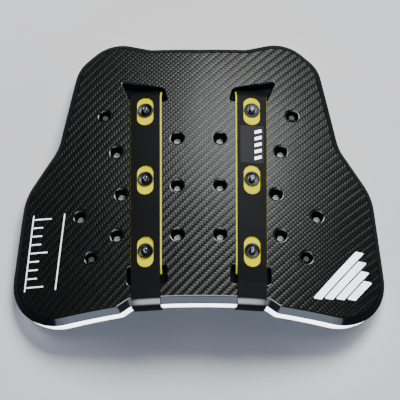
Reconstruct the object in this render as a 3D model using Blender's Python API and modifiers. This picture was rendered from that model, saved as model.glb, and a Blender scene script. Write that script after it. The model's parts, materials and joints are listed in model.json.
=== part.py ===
"""Hard chest protector: a bevelled, vented shell on a foam liner, with two snap straps.

Every sheet-like piece is laid out flat first, with its outer face at height zero, its holes
and pockets cut there, and is then pressed onto one doubly curved surface. +X runs across the
chest, +Y towards the neck and +Z away from the body. The finished piece leans as it lies on
a table, with the middle of its footprint at the origin.
"""

import math
from collections import namedtuple

import bmesh
import bpy
from mathutils import Matrix, Vector

# Running clearance between neighbouring pieces
GAP = 0.0003

# Plate: plan size, the two radii that it is pressed to, and where its crest lies
PLATE_WIDTH = 0.3260
PLATE_LENGTH = 0.2580
ARCH_RADIUS = 0.300
LENGTHWISE_RADIUS = 0.600
CREST_OFFSET = -0.0053

# Shell panel, its pressed rim and the foam behind it
SHELL_THICKNESS = 0.0055
RIM_WIDTH = 0.0059
RIM_DROP = 0.0043
POCKET_SKIN = 0.0012
LINER_THICKNESS = 0.0120
LINER_FLARE = 0.0008
LINER_SETBACK = 0.0006

# Outline corners right of the middle, neck end first: shares of the half width and of the
# half length, and the corner radius as a share of the half width
Corner = namedtuple("Corner", "across along radius")
SIDE_CORNERS = (
    Corner(0.259, 0.945, 0.160),
    Corner(0.474, 1.029, 0.200),
    Corner(0.647, 0.847, 0.180),
    Corner(0.756, 0.248, 0.220),
    Corner(0.936, -0.064, 0.280),
    Corner(1.042, -1.029, 0.260),
)
NECK_EDGE = 0.938
NOTCH_DEPTH = 0.0095
NOTCH_STEP = 0.0101
NOTCH_RISE = 0.0059
NOTCH_RADIUS = 0.0080
NOTCH_MARGIN = 0.0008

# Vent funnels right of the middle: shares of the half width and half length, and whether a
# plug fills the funnel
Vent = namedtuple("Vent", "name across along plugged")
VENTS = (
    Vent("inner_top", 0.113, 0.233, False),
    Vent("inner_middle", 0.113, -0.113, False),
    Vent("inner_bottom", 0.113, -0.460, False),
    Vent("outer_top", 0.435, 0.158, False),
    Vent("outer_middle", 0.410, -0.155, False),
    Vent("outer_bottom", 0.433, -0.443, False),
    Vent("wing", 0.627, -0.281, False),
    Vent("shoulder", 0.496, 0.432, True),
    Vent("corner", 0.570, -0.578, True),
)
VENT_DIAMETER = 0.0104
VENT_LIP = 0.0009
VENT_THROAT = 0.0056
VENT_DEPTH = 0.0092
PLUG_DEPTH = 0.0040
PLUG_DOME = 0.0006
PLUG_CROWN_SHARE = 0.6

# Straps, the strip under each, and the windows that show it
STRAP_SPACING = 0.0916
STRAP_WIDTH = 0.0252
STRAP_THICKNESS = 0.0012
BACKING_THICKNESS = 0.0010
BACKING_INNER_MARGIN = 0.0018
BACKING_OUTER_MARGIN = 0.0004
BEND_RADIUS = 0.0055
TAIL_BEND_RADIUS = 0.0025
TAIL_LENGTH = 0.0400
HEM_CLEARANCE = 0.0010
EASY_BEND_RADIUS = 0.0100
TIGHT_BEND_RADIUS = 0.0050
WINDOW_LENGTH = 0.0270
WINDOW_WIDTH = 0.0142
WINDOW_SHIFT = -0.0008
WINDOW_ROUNDNESS = 0.98

# Snap studs, in three rows on each strap
STUD_PITCH = 0.0653
STUD_MIDDLE = -0.0083
STUD_ROWS = (("top", 1), ("middle", 0), ("bottom", -1))
STUD_FLANGE_DIAMETER = 0.0136
STUD_FLANGE_THICKNESS = 0.0009
STUD_RIM_HEIGHT = 0.0006
STUD_RIM_WIDTH = 0.0011
STUD_NECK_DIAMETER = 0.0040
STUD_HEAD_DIAMETER = 0.0058
STUD_HEIGHT = 0.0046
STUD_FACE_DIAMETER = 0.0030
STUD_CROWN_DROP = 0.00126
STUD_BELT = 0.00063
STUD_UNDERCUT = 0.00076
# Where the rounded crown is faceted, and how far the rim's slopes reach: shares of their sizes
STUD_CROWN_FACET = (0.7, 0.3)
STUD_RIM_SLOPE_IN = 0.6
STUD_RIM_SLOPE_OUT = 0.3

# Pocket that swallows each strap's neck end: corners outward from the strap's middle in half
# strap widths, and up from the mouth in pocket lengths
POCKET_CORNERS = (
    Corner(-1.52, 0.000, 0.16),
    Corner(1.05, 0.020, 0.16),
    Corner(1.74, 1.010, 0.13),
    Corner(-1.34, 0.577, 0.32),
)
POCKET_MOUTH = 0.0665
POCKET_LENGTH = 0.0222
POCKET_DEPTH = 0.0070
STRAP_DIVE_START = 0.0052
STRAP_DIVE_LENGTH = 0.0072
STRAP_DIVE_DROP = 0.0060

# Trough under each strap, where the backing ends
TROUGH_TOP = -0.0855
TROUGH_LENGTH = 0.0173
TROUGH_INNER_MARGIN = 0.0059
TROUGH_OUTER_MARGIN = 0.0044
TROUGH_RADIUS = 0.0040
TROUGH_DEPTH = 0.0060
BACKING_DIVE = 0.0060
BACKING_DIVE_DROP = 0.0042
STRAP_SETTLE = 0.0020

# Mesh fineness
ARC_STEP = math.radians(13)
VENT_SIDES = 12
STUD_SIDES = 14
CELL_ACROSS = 0.0164
CELL_ALONG = 0.0200
STRAP_COLUMNS = 2
STRAP_RUN = 0.0200
OVERCUT = 0.0010
MERGE_DISTANCE = 0.000001
SHARP_ANGLE = math.radians(35)

# Colour, roughness and metallic value of each material
Finish = namedtuple("Finish", "color roughness metallic")
FINISHES = {
    "carbon_composite": Finish((0.030, 0.034, 0.034, 1), 0.30, 0.0),
    "white_foam": Finish((0.85, 0.87, 0.88, 1), 0.75, 0.0),
    "black_polymer": Finish((0.010, 0.011, 0.012, 1), 0.35, 0.0),
    "yellow_polymer": Finish((0.80, 0.72, 0.03, 1), 0.50, 0.0),
    "plated_brass": Finish((0.42, 0.42, 0.43, 1), 0.25, 1.0),
    "grey_rubber": Finish((0.16, 0.16, 0.17, 1), 0.55, 0.0),
}

HALF_WIDTH = PLATE_WIDTH / 2
HALF_LENGTH = PLATE_LENGTH / 2
STRAP_CENTRE = STRAP_SPACING / 2
LINER_TOP = -(SHELL_THICKNESS + GAP)
LINER_BOTTOM = LINER_TOP - LINER_THICKNESS
BACKING_LEVEL = GAP + BACKING_THICKNESS / 2
STRAP_LEVEL = BACKING_THICKNESS + 2 * GAP + STRAP_THICKNESS / 2
STRAP_FLUSH_LEVEL = GAP + STRAP_THICKNESS / 2
BOTTOM_EDGE = -(HALF_LENGTH - NOTCH_DEPTH)


def clear_scene():
    for obj in list(bpy.data.objects):
        bpy.data.objects.remove(obj, do_unlink=True)


def new_collection(name):
    collection = bpy.data.collections.new(name)
    bpy.context.scene.collection.children.link(collection)
    return collection


def new_material(name):
    finish = FINISHES[name]
    material = bpy.data.materials.new(name)
    material.use_nodes = True
    shader = material.node_tree.nodes["Principled BSDF"]
    shader.inputs["Base Color"].default_value = finish.color
    shader.inputs["Roughness"].default_value = finish.roughness
    shader.inputs["Metallic"].default_value = finish.metallic
    material.diffuse_color = finish.color
    return material


def arc_corner(before, corner, after, radius):
    """Points of the arc that rounds a corner, or the corner itself where it has no radius."""
    if radius <= 0:
        return [corner]
    to_before = (before - corner).normalized()
    to_after = (after - corner).normalized()
    half_angle = to_before.angle(to_after) / 2
    reach = radius / math.tan(half_angle)
    centre = corner + (to_before + to_after).normalized() * (radius / math.sin(half_angle))
    start = corner + to_before * reach - centre
    turn = start.angle_signed(corner + to_after * reach - centre)
    steps = max(1, math.ceil(abs(turn) / ARC_STEP))
    return [centre + Matrix.Rotation(-turn * i / steps, 2) @ start for i in range(steps + 1)]


def rounded_loop(corners):
    """A closed outline from corners given as (point, radius)."""
    points = []
    for i, (corner, radius) in enumerate(corners):
        before = corners[i - 1][0]
        after = corners[(i + 1) % len(corners)][0]
        points += arc_corner(before, corner, after, radius)
    return points


def rounded_path(corners, longest):
    """An open path from corners given as (point, radius), with its straight runs divided."""
    turns = [[corners[0][0]]]
    for before, (corner, radius), after in zip(corners, corners[1:], corners[2:]):
        turns.append(arc_corner(before[0], corner, after[0], radius))
    turns.append([corners[-1][0]])
    points = []
    for turn, following in zip(turns, turns[1:]):
        points += turn
        run = following[0] - turn[-1]
        steps = math.ceil(run.length / longest)
        points += [turn[-1] + run * i / steps for i in range(1, steps)]
    return points + turns[-1]


def grown(loop, distance):
    """The same outline, running clockwise or not, moved outward all round."""
    area = sum(a.x * b.y - b.x * a.y for a, b in zip(loop, loop[1:] + loop[:1]))
    side = math.copysign(1, area)
    moved = []
    for i, point in enumerate(loop):
        along_in = (point - loop[i - 1]).normalized()
        along_out = (loop[(i + 1) % len(loop)] - point).normalized()
        bisector = Vector((along_in.y + along_out.y, -along_in.x - along_out.x)).normalized()
        spread = bisector.dot(Vector((along_in.y, -along_in.x)))
        moved.append(point + bisector * (side * distance / spread))
    return moved


def plate_outline():
    """Outline of the shell's lower edge in plan, symmetric about the middle."""
    corners = [(Vector((c.across * HALF_WIDTH, c.along * HALF_LENGTH)), c.radius * HALF_WIDTH)
               for c in SIDE_CORNERS]
    notch_end = STRAP_CENTRE + STRAP_WIDTH / 2 + NOTCH_MARGIN
    corners.append((Vector((notch_end + NOTCH_STEP, BOTTOM_EDGE - NOTCH_RISE)), NOTCH_RADIUS))
    corners.append((Vector((notch_end, BOTTOM_EDGE)), NOTCH_RADIUS))
    mirrored = [(Vector((-point.x, point.y)), radius) for point, radius in reversed(corners)]
    neck = [(Vector((0, NECK_EDGE * HALF_LENGTH)), 0)]
    return rounded_loop(neck + corners + mirrored)


def surface_normal(x, y):
    along = y - CREST_OFFSET
    slope_x = x / math.sqrt(ARCH_RADIUS ** 2 - x ** 2)
    slope_y = along / math.sqrt(LENGTHWISE_RADIUS ** 2 - along ** 2)
    return Vector((slope_x, slope_y, 1)).normalized()


def pressed(point):
    """Where a point of the flat layout lies once it is pressed to shape."""
    x, y, depth = point
    along = y - CREST_OFFSET
    arch = math.sqrt(ARCH_RADIUS ** 2 - x ** 2) - ARCH_RADIUS
    sweep = math.sqrt(LENGTHWISE_RADIUS ** 2 - along ** 2) - LENGTHWISE_RADIUS
    return Vector((x, y, arch + sweep)) + depth * surface_normal(x, y)


def press_direction_skew(x, y):
    """Matrix that places a turned cutter so that pressing stands its axis upright."""
    normal = surface_normal(x, y)
    return Matrix(((1, 0, -normal.x, x), (0, 1, -normal.y, y), (0, 0, 1, 0), (0, 0, 0, 1)))


def new_object(name, mesh, collection):
    obj = bpy.data.objects.new(name, mesh)
    collection.objects.link(obj)
    return obj


def mesh_from(bm, name):
    bmesh.ops.recalc_face_normals(bm, faces=bm.faces)
    mesh = bpy.data.meshes.new(name)
    bm.to_mesh(mesh)
    bm.free()
    return mesh


def face_at(bm, loop, height):
    return bm.faces.new([bm.verts.new((point.x, point.y, height)) for point in loop])


def extrude_up(bm, face, distance):
    """Raise a copy of the face, walls and all, and return the highest face."""
    region = bmesh.ops.extrude_face_region(bm, geom=[face])["geom"]
    raised = [item for item in region if isinstance(item, bmesh.types.BMVert)]
    bmesh.ops.translate(bm, verts=raised, vec=(0, 0, distance))
    bmesh.ops.recalc_face_normals(bm, faces=bm.faces)
    return max(bm.faces, key=lambda item: item.calc_center_median().z)


def score_cells(bm):
    """Divide a flat slab along a lattice, so that it can follow the pressed surface."""
    reach = HALF_WIDTH + LINER_FLARE
    columns = math.ceil(reach / CELL_ACROSS)
    rows = math.ceil(HALF_LENGTH / CELL_ALONG)
    cuts = [(Vector((i * CELL_ACROSS, 0, 0)), Vector((1, 0, 0))) for i in range(-columns, columns + 1)]
    cuts += [(Vector((0, i * CELL_ALONG, 0)), Vector((0, 1, 0))) for i in range(-rows, rows + 1)]
    for point, normal in cuts:
        geometry = bm.verts[:] + bm.edges[:] + bm.faces[:]
        bmesh.ops.bisect_plane(bm, geom=geometry, plane_co=point, plane_no=normal, dist=MERGE_DISTANCE)


def prism_mesh(name, loop, top, bottom):
    bm = bmesh.new()
    extrude_up(bm, face_at(bm, loop, bottom), top - bottom)
    return mesh_from(bm, name)


def turned_mesh(name, profile, sides):
    """Solid turned about Z from a profile of (radius, height) points, from top to bottom."""
    line = bpy.data.meshes.new(name + "_profile")
    line.from_pydata([(r, 0, z) for r, z in profile],
                     [(i, i + 1) for i in range(len(profile) - 1)], [])
    obj = new_object(name + "_profile", line, bpy.context.scene.collection)
    screw = obj.modifiers.new("turn", 'SCREW')
    screw.axis = 'Z'
    screw.angle = math.tau
    screw.steps = sides
    screw.render_steps = sides
    screw.use_merge_vertices = True
    screw.merge_threshold = MERGE_DISTANCE
    mesh = evaluated_mesh(obj)
    mesh.name = name
    bpy.data.objects.remove(obj, do_unlink=True)
    return mesh


def evaluated_mesh(obj):
    bpy.context.view_layer.update()
    graph = bpy.context.evaluated_depsgraph_get()
    return bpy.data.meshes.new_from_object(obj.evaluated_get(graph))


def add_cutter(collection, mesh):
    cutter = new_object(mesh.name, mesh, collection)
    cutter.hide_render = True
    cutter.display_type = 'WIRE'
    return cutter


def combine(obj, operation, collection):
    boolean = obj.modifiers.new(operation.lower() + "_" + collection.name, 'BOOLEAN')
    boolean.operation = operation
    boolean.solver = 'EXACT'
    boolean.operand_type = 'COLLECTION'
    boolean.collection = collection


def press_to_shape(obj, material, root):
    """Apply the flat construction, press it onto the curved surface and hang it on the root."""
    mesh = evaluated_mesh(obj)
    obj.modifiers.clear()
    bm = bmesh.new()
    bm.from_mesh(mesh)
    bmesh.ops.triangulate(bm, faces=bm.faces)
    for vert in bm.verts:
        vert.co = pressed(vert.co)
    bm.to_mesh(mesh)
    bm.free()
    obj.data = mesh
    finish_object(obj, material, root)


def finish_object(obj, material, root):
    obj.data.materials.clear()
    obj.data.materials.append(material)
    obj.data.shade_smooth()
    obj.data.set_sharp_from_angle(angle=SHARP_ANGLE)
    obj.parent = root


def vent_radius(depth):
    """Radius of the funnel's wall at a depth below the shell's face."""
    share = (depth - VENT_LIP) / (VENT_DEPTH - VENT_LIP)
    return (VENT_DIAMETER + (VENT_THROAT - VENT_DIAMETER) * share) / 2


def vent_places():
    for vent in VENTS:
        for side, word in ((-1, "left"), (1, "right")):
            yield vent, word, side * vent.across * HALF_WIDTH, vent.along * HALF_LENGTH


def funnel_profile(start, end, margin):
    """Profile of a plain frustum that follows the funnel between two depths."""
    top, bottom = vent_radius(start) + margin, vent_radius(end) + margin
    return [(0, -start), (top, -start), (bottom, -end), (0, -end)]


def vent_cutter_profile():
    """Profile of the funnel with its chamfered lip, open above and below the shell."""
    mouth = VENT_DIAMETER / 2 + VENT_LIP
    end = VENT_DEPTH + OVERCUT
    return [(0, OVERCUT), (mouth, OVERCUT), (mouth, 0), (vent_radius(VENT_LIP), -VENT_LIP),
            (vent_radius(end), -end), (0, -end)]


def add_at_vents(collection, mesh):
    for _, _, x, y in vent_places():
        copy = mesh.copy()
        copy.transform(press_direction_skew(x, y))
        add_cutter(collection, copy)


def pocket_loop(side):
    half_strap = STRAP_WIDTH / 2
    corners = []
    for corner in POCKET_CORNERS:
        x = side * (STRAP_CENTRE + corner.across * half_strap)
        y = POCKET_MOUTH + corner.along * POCKET_LENGTH
        corners.append((Vector((x, y)), corner.radius * half_strap))
    return rounded_loop(corners)


def trough_loop(side):
    inner = STRAP_CENTRE - STRAP_WIDTH / 2 - TROUGH_INNER_MARGIN
    outer = STRAP_CENTRE + STRAP_WIDTH / 2 + TROUGH_OUTER_MARGIN
    bottom = TROUGH_TOP - TROUGH_LENGTH
    corners = ((inner, bottom), (outer, bottom), (outer, TROUGH_TOP), (inner, TROUGH_TOP))
    return rounded_loop([(Vector((side * x, y)), TROUGH_RADIUS) for x, y in corners])


def recesses():
    for side in (-1, 1):
        yield pocket_loop(side), POCKET_DEPTH
        yield trough_loop(side), TROUGH_DEPTH


def build_shell(parts, material, root):
    """Panel with a pressed-down rim, vent funnels and strap recesses that reach into the foam."""
    bm = bmesh.new()
    top = extrude_up(bm, face_at(bm, plate_outline(), -SHELL_THICKNESS), SHELL_THICKNESS - RIM_DROP)
    bmesh.ops.inset_region(bm, faces=[top], thickness=RIM_WIDTH, depth=RIM_DROP, use_even_offset=True)
    score_cells(bm)
    shell = new_object("front_shell", mesh_from(bm, "front_shell"), parts)

    bosses = new_collection("shell_bosses")
    cutters = new_collection("shell_cutters")
    root_depth = SHELL_THICKNESS - OVERCUT
    funnel_end = VENT_DEPTH - GAP
    add_at_vents(bosses, turned_mesh("vent_boss", funnel_profile(root_depth, funnel_end, POCKET_SKIN),
                                     VENT_SIDES))
    add_at_vents(cutters, turned_mesh("vent_cutter", vent_cutter_profile(), VENT_SIDES))
    for loop, depth in recesses():
        boss = prism_mesh("recess_boss", grown(loop, POCKET_SKIN), -root_depth, -depth - POCKET_SKIN)
        add_cutter(bosses, boss)
        add_cutter(cutters, prism_mesh("recess_cutter", loop, OVERCUT, -depth))
    combine(shell, 'UNION', bosses)
    combine(shell, 'DIFFERENCE', cutters)
    press_to_shape(shell, material, root)


def build_liner(parts, material, root):
    """Foam sheet with slightly flared walls and sockets for what reaches below the shell."""
    bm = bmesh.new()
    face = face_at(bm, grown(plate_outline(), LINER_FLARE), LINER_BOTTOM)
    top = extrude_up(bm, face, LINER_THICKNESS / 2)
    bmesh.ops.inset_region(bm, faces=[top], thickness=LINER_FLARE + LINER_SETBACK,
                           depth=LINER_THICKNESS / 2, use_even_offset=True)
    score_cells(bm)
    liner = new_object("foam_liner", mesh_from(bm, "foam_liner"), parts)

    sockets = new_collection("liner_sockets")
    start = -LINER_TOP - OVERCUT
    add_at_vents(sockets, turned_mesh("vent_socket", funnel_profile(start, VENT_DEPTH, POCKET_SKIN + GAP),
                                      VENT_SIDES))
    for loop, depth in recesses():
        socket = prism_mesh("recess_socket", grown(loop, POCKET_SKIN + GAP),
                            LINER_TOP + OVERCUT, -depth - POCKET_SKIN - GAP)
        add_cutter(sockets, socket)
    combine(liner, 'DIFFERENCE', sockets)
    press_to_shape(liner, material, root)


def strip_object(name, path, x_from, x_to, thickness, parts):
    """Flat strip swept along a path of (along, height) points, given its thickness."""
    bm = bmesh.new()
    verts = [bm.verts.new((x_from, point.x, point.y)) for point in path]
    edges = [bm.edges.new(pair) for pair in zip(verts, verts[1:])]
    for _ in range(STRAP_COLUMNS):
        geometry = bmesh.ops.extrude_edge_only(bm, edges=edges)["geom"]
        moved = [item for item in geometry if isinstance(item, bmesh.types.BMVert)]
        edges = [item for item in geometry if isinstance(item, bmesh.types.BMEdge)]
        bmesh.ops.translate(bm, verts=moved, vec=((x_to - x_from) / STRAP_COLUMNS, 0, 0))
    strip = new_object(name, mesh_from(bm, name), parts)
    solidify = strip.modifiers.new("thickness", 'SOLIDIFY')
    solidify.thickness = thickness
    solidify.offset = 0
    solidify.use_even_offset = True
    return strip


def dive_corners(level):
    """Where a strip at the given level bends down into the pocket and ends there."""
    bend_y = POCKET_MOUTH + STRAP_DIVE_START
    slope = math.atan2(STRAP_DIVE_DROP, STRAP_DIVE_LENGTH)
    setback = (STRAP_LEVEL - level) * math.tan(slope / 2)
    bend = Vector((bend_y - setback, level))
    end = bend + Vector((STRAP_DIVE_LENGTH, -STRAP_DIVE_DROP))
    return [(end, 0), (bend, TIGHT_BEND_RADIUS)]


def strap_path():
    """Out of the pocket, over the trough, down onto the plate, round its edge and back under."""
    hem = BOTTOM_EDGE - LINER_FLARE - HEM_CLEARANCE - STRAP_THICKNESS / 2
    tail_level = LINER_BOTTOM - GAP - STRAP_THICKNESS / 2
    settled_y = TROUGH_TOP - TROUGH_LENGTH + STRAP_SETTLE
    corners = dive_corners(STRAP_LEVEL)
    corners.append((Vector((TROUGH_TOP, STRAP_LEVEL)), EASY_BEND_RADIUS))
    corners.append((Vector((settled_y, STRAP_FLUSH_LEVEL)), EASY_BEND_RADIUS))
    corners.append((Vector((hem, STRAP_FLUSH_LEVEL)), BEND_RADIUS))
    corners.append((Vector((hem, tail_level)), TAIL_BEND_RADIUS))
    corners.append((Vector((hem + TAIL_LENGTH, tail_level)), 0))
    return rounded_path(corners, STRAP_RUN)


def backing_path():
    """From beside the strap in the pocket to its end inside the trough."""
    corners = dive_corners(BACKING_LEVEL)
    bend = Vector((TROUGH_TOP - STRAP_SETTLE, BACKING_LEVEL))
    corners.append((bend, TIGHT_BEND_RADIUS))
    corners.append((bend + Vector((-BACKING_DIVE, -BACKING_DIVE_DROP)), 0))
    return rounded_path(corners, STRAP_RUN)


def stud_row(share):
    return STUD_MIDDLE + share * STUD_PITCH


def build_strap(word, side, parts, materials, root):
    inner = STRAP_CENTRE - STRAP_WIDTH / 2
    outer = STRAP_CENTRE + STRAP_WIDTH / 2
    strap = strip_object("strap_" + word, strap_path(), side * inner, side * outer,
                         STRAP_THICKNESS, parts)
    windows = new_collection("windows_" + word)
    half_length, half_width = WINDOW_LENGTH / 2, WINDOW_WIDTH / 2
    for row, share in STUD_ROWS:
        y = stud_row(share) + WINDOW_SHIFT
        corners = ((-1, -1), (1, -1), (1, 1), (-1, 1))
        loop = rounded_loop([(Vector((side * STRAP_CENTRE + sx * half_width, y + sy * half_length)),
                              half_width * WINDOW_ROUNDNESS) for sx, sy in corners])
        top = STRAP_LEVEL + STRAP_THICKNESS / 2 + OVERCUT
        add_cutter(windows, prism_mesh("window_" + row, loop, top, 0))
    combine(strap, 'DIFFERENCE', windows)
    press_to_shape(strap, materials["black_polymer"], root)

    backing = strip_object("strap_backing_" + word, backing_path(),
                           side * (inner - BACKING_INNER_MARGIN), side * (outer + BACKING_OUTER_MARGIN),
                           BACKING_THICKNESS, parts)
    press_to_shape(backing, materials["yellow_polymer"], root)


def stud_profile():
    flange, neck = STUD_FLANGE_DIAMETER / 2, STUD_NECK_DIAMETER / 2
    head, face = STUD_HEAD_DIAMETER / 2, STUD_FACE_DIAMETER / 2
    rim = STUD_FLANGE_THICKNESS + STUD_RIM_HEIGHT
    rim_inside = flange - STUD_RIM_WIDTH
    facet_out, facet_down = STUD_CROWN_FACET
    belt_top = STUD_HEIGHT - STUD_CROWN_DROP
    belt_end = belt_top - STUD_BELT
    return [(0, STUD_HEIGHT), (face, STUD_HEIGHT),
            (face + (head - face) * facet_out, STUD_HEIGHT - STUD_CROWN_DROP * facet_down),
            (head, belt_top), (head, belt_end), (neck, belt_end - STUD_UNDERCUT),
            (neck, STUD_FLANGE_THICKNESS),
            (rim_inside - STUD_RIM_WIDTH * STUD_RIM_SLOPE_IN, STUD_FLANGE_THICKNESS),
            (rim_inside, rim), (flange - STUD_RIM_WIDTH * STUD_RIM_SLOPE_OUT, rim),
            (flange, STUD_FLANGE_THICKNESS), (flange, 0), (0, 0)]


def build_studs(parts, material, root):
    mesh = turned_mesh("snap_stud", stud_profile(), STUD_SIDES)
    base = BACKING_THICKNESS + 2 * GAP
    for side, word in ((-1, "left"), (1, "right")):
        for row, share in STUD_ROWS:
            stud = new_object("snap_stud_" + word + "_" + row, mesh.copy(), parts)
            x, y = side * STRAP_CENTRE, stud_row(share)
            stud.location = pressed((x, y, base))
            stud.rotation_euler = Vector((0, 0, 1)).rotation_difference(surface_normal(x, y)).to_euler()
            finish_object(stud, material, root)


def build_plugs(parts, material, root):
    """Tapered plugs that fill the four outer funnels from just below their mouths."""
    end = VENT_DEPTH - GAP
    top, bottom = vent_radius(PLUG_DEPTH) - GAP, vent_radius(end) - GAP
    crown = -PLUG_DEPTH + PLUG_DOME
    profile = [(0, crown), (top * PLUG_CROWN_SHARE, crown), (top, -PLUG_DEPTH), (bottom, -end), (0, -end)]
    mesh = turned_mesh("liner_plug", profile, VENT_SIDES)
    for vent, word, x, y in vent_places():
        if vent.plugged:
            copy = mesh.copy()
            copy.transform(press_direction_skew(x, y))
            plug = new_object("liner_plug_" + word + "_" + vent.name, copy, parts)
            press_to_shape(plug, material, root)


def lower_hull(points):
    """Lower boundary of (along, height) points, from the bottom edge to the neck."""
    hull = []
    for point in sorted(points):
        while len(hull) > 1:
            (y0, z0), (y1, z1) = hull[-2:]
            if (y1 - y0) * (point[1] - z0) - (z1 - z0) * (point[0] - y0) > 0:
                break
            hull.pop()
        hull.append(point)
    return hull


def lay_on_table(parts, root):
    """Lean the assembly onto its lower corners and shoulders, footprint centred on the origin."""
    bpy.context.view_layer.update()
    points = [obj.matrix_world @ vert.co for obj in parts.objects if obj.type == 'MESH'
              for vert in obj.data.vertices]
    hull = lower_hull([(point.y, point.z) for point in points])
    foot = next(pair for pair in zip(hull, hull[1:]) if pair[0][0] <= 0 < pair[1][0])
    (y0, z0), (y1, z1) = foot
    root.rotation_euler.x = -math.atan2(z1 - z0, y1 - y0)
    turn = root.rotation_euler.to_matrix()
    leaning = [turn @ point for point in points]
    ys = [point.y for point in leaning]
    root.location = (0, -(min(ys) + max(ys)) / 2, -min(point.z for point in leaning))


def main():
    clear_scene()
    parts = new_collection("chest_protector")
    materials = {name: new_material(name) for name in FINISHES}
    root = bpy.data.objects.new("resting_lean", None)
    parts.objects.link(root)
    build_shell(parts, materials["carbon_composite"], root)
    build_liner(parts, materials["white_foam"], root)
    for side, word in ((-1, "left"), (1, "right")):
        build_strap(word, side, parts, materials, root)
    build_studs(parts, materials["plated_brass"], root)
    build_plugs(parts, materials["grey_rubber"], root)
    lay_on_table(parts, root)


main()
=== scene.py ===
"""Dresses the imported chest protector: laminate shell, foam, straps, snaps, markings and studio.

Sheet-like pieces are made flat, with the shell's face at height zero, the openings cut there
and the weave's place kept as a UV map. They are then pressed to the plate's double curve and
leaned the way the protector lies on a table.
"""

import json
import math

import bmesh
import bpy
import numpy as np
from mathutils import Matrix, Vector

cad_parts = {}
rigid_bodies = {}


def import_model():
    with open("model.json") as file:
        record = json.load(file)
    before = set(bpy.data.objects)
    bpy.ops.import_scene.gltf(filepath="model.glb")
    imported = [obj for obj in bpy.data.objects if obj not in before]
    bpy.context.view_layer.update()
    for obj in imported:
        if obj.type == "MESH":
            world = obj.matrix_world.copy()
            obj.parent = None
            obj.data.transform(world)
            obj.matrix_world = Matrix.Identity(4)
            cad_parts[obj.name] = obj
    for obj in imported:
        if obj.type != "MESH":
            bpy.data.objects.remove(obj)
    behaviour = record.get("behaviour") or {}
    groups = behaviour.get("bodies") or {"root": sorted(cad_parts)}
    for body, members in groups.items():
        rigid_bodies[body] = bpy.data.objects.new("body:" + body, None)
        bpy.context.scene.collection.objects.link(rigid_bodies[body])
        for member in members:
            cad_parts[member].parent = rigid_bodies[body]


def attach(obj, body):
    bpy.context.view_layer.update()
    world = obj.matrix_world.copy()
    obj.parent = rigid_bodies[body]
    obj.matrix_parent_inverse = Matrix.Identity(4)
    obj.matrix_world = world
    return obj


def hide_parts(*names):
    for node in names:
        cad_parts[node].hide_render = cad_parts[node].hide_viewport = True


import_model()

bl_info = {
    "name": "Chest Protector",
    "version": (1, 0, 0),
    "blender": (4, 5, 0),
    "location": "View3D > Sidebar > Protector",
    "description": "Laminate chest protector with snap straps, built on its packed solids",
    "category": "Object",
}

# Where finishes are glossy on the flat layout: centre along Y, reach and fade. The rim is glossy
# along the lower edge, and a strap where it turns over it.
RIM_GLOSS = (-0.1290, 0.112, 0.026)
WRAP_GLOSS = (-0.1178, 0.0009, 0.0024)

# Layout shared with the solids, in metres
HALF_WIDTH = 0.1630
HALF_LENGTH = 0.1290
ARCH_RADIUS = 0.300
LENGTHWISE_RADIUS = 0.600
CREST_OFFSET = -0.0053
LEAN = -0.118247
REST_SHIFT = (0.0, 0.004270, 0.058569)
GAP = 0.0003

SHELL_THICKNESS = 0.0055
RIM_WIDTH = 0.0059
RIM_DROP = 0.0043
WALL = 0.0012
FOAM_TOP = -(SHELL_THICKNESS + GAP)
FOAM_THICKNESS = 0.0120
FOAM_BOTTOM = FOAM_TOP - FOAM_THICKNESS
FOAM_FLARE = 0.0008
FOAM_SETBACK = 0.0006

# How far tools reach past what they cut, the limits that tell kinds of face apart, and where a
# profile's last level run ends
OVERLAP = 0.0010
FACE_SLACK = 0.00006
RIM_MARGIN = 0.0012
LIP_DEPTH = 0.0009
SOCKET_DEPTH = 0.0006
FLAT_END = 0.02

# Outline corners right of the middle: shares of half width and half length, radius as a share
# of half width
SIDE_CORNERS = (
    (0.259, 0.945, 0.160),
    (0.474, 1.029, 0.200),
    (0.647, 0.847, 0.180),
    (0.756, 0.248, 0.220),
    (0.936, -0.064, 0.280),
    (1.042, -1.029, 0.260),
)
NECK_EDGE = 0.938
BOTTOM_EDGE = -(HALF_LENGTH - 0.0095)
NOTCH_STEP = 0.0101
NOTCH_RISE = 0.0059
NOTCH_RADIUS = 0.0080
NOTCH_MARGIN = 0.0008

# Vents right of the middle, as shares of half width and half length; the last two are plugged
OPEN_VENTS = (
    (0.113, 0.233), (0.113, -0.113), (0.113, -0.460),
    (0.435, 0.158), (0.410, -0.155), (0.433, -0.443), (0.627, -0.281),
)
PLUGGED_VENTS = {"shoulder": (0.496, 0.432), "corner": (0.570, -0.578)}
VENT_RADIUS = 0.0052
VENT_THROAT = 0.0028
VENT_DEPTH = 0.0092
PLUG_DEPTH = 0.0040

STRAP_CENTRE = 0.0458
STRAP_HALF = 0.0126
STRAP_THICKNESS = 0.0012
BACKING_THICKNESS = 0.0010
BACKING_INNER = 0.0012
BACKING_OUTER = 0.0004
BACKING_LEVEL = GAP + BACKING_THICKNESS / 2
STRAP_LEVEL = BACKING_THICKNESS + 2 * GAP + STRAP_THICKNESS / 2
STRAP_FLUSH = GAP + STRAP_THICKNESS / 2
WRAP_FACET = 0.0076
WRAP_DROP = 0.0024
WINDOW_LENGTH = 0.0270
WINDOW_WIDTH = 0.0142
WINDOW_SHIFT = -0.0008
STUD_ROWS = {"top": 0.0570, "middle": -0.0083, "bottom": -0.0736}

POCKET_MOUTH = 0.0665
POCKET_CORNERS = (
    (-1.52, 0.0, 0.16),
    (1.05, 0.020, 0.16),
    (1.74, 1.01, 0.13),
    (-1.34, 0.577, 0.32),
)
POCKET_LENGTH = 0.0222
POCKET_DEPTH = 0.0070
TROUGH_TOP = -0.0855
TROUGH_END = -0.1028
TROUGH_INNER = 0.0059
TROUGH_OUTER = 0.0044
TROUGH_CORNER = 0.0040
TROUGH_DEPTH = 0.0060

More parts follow.
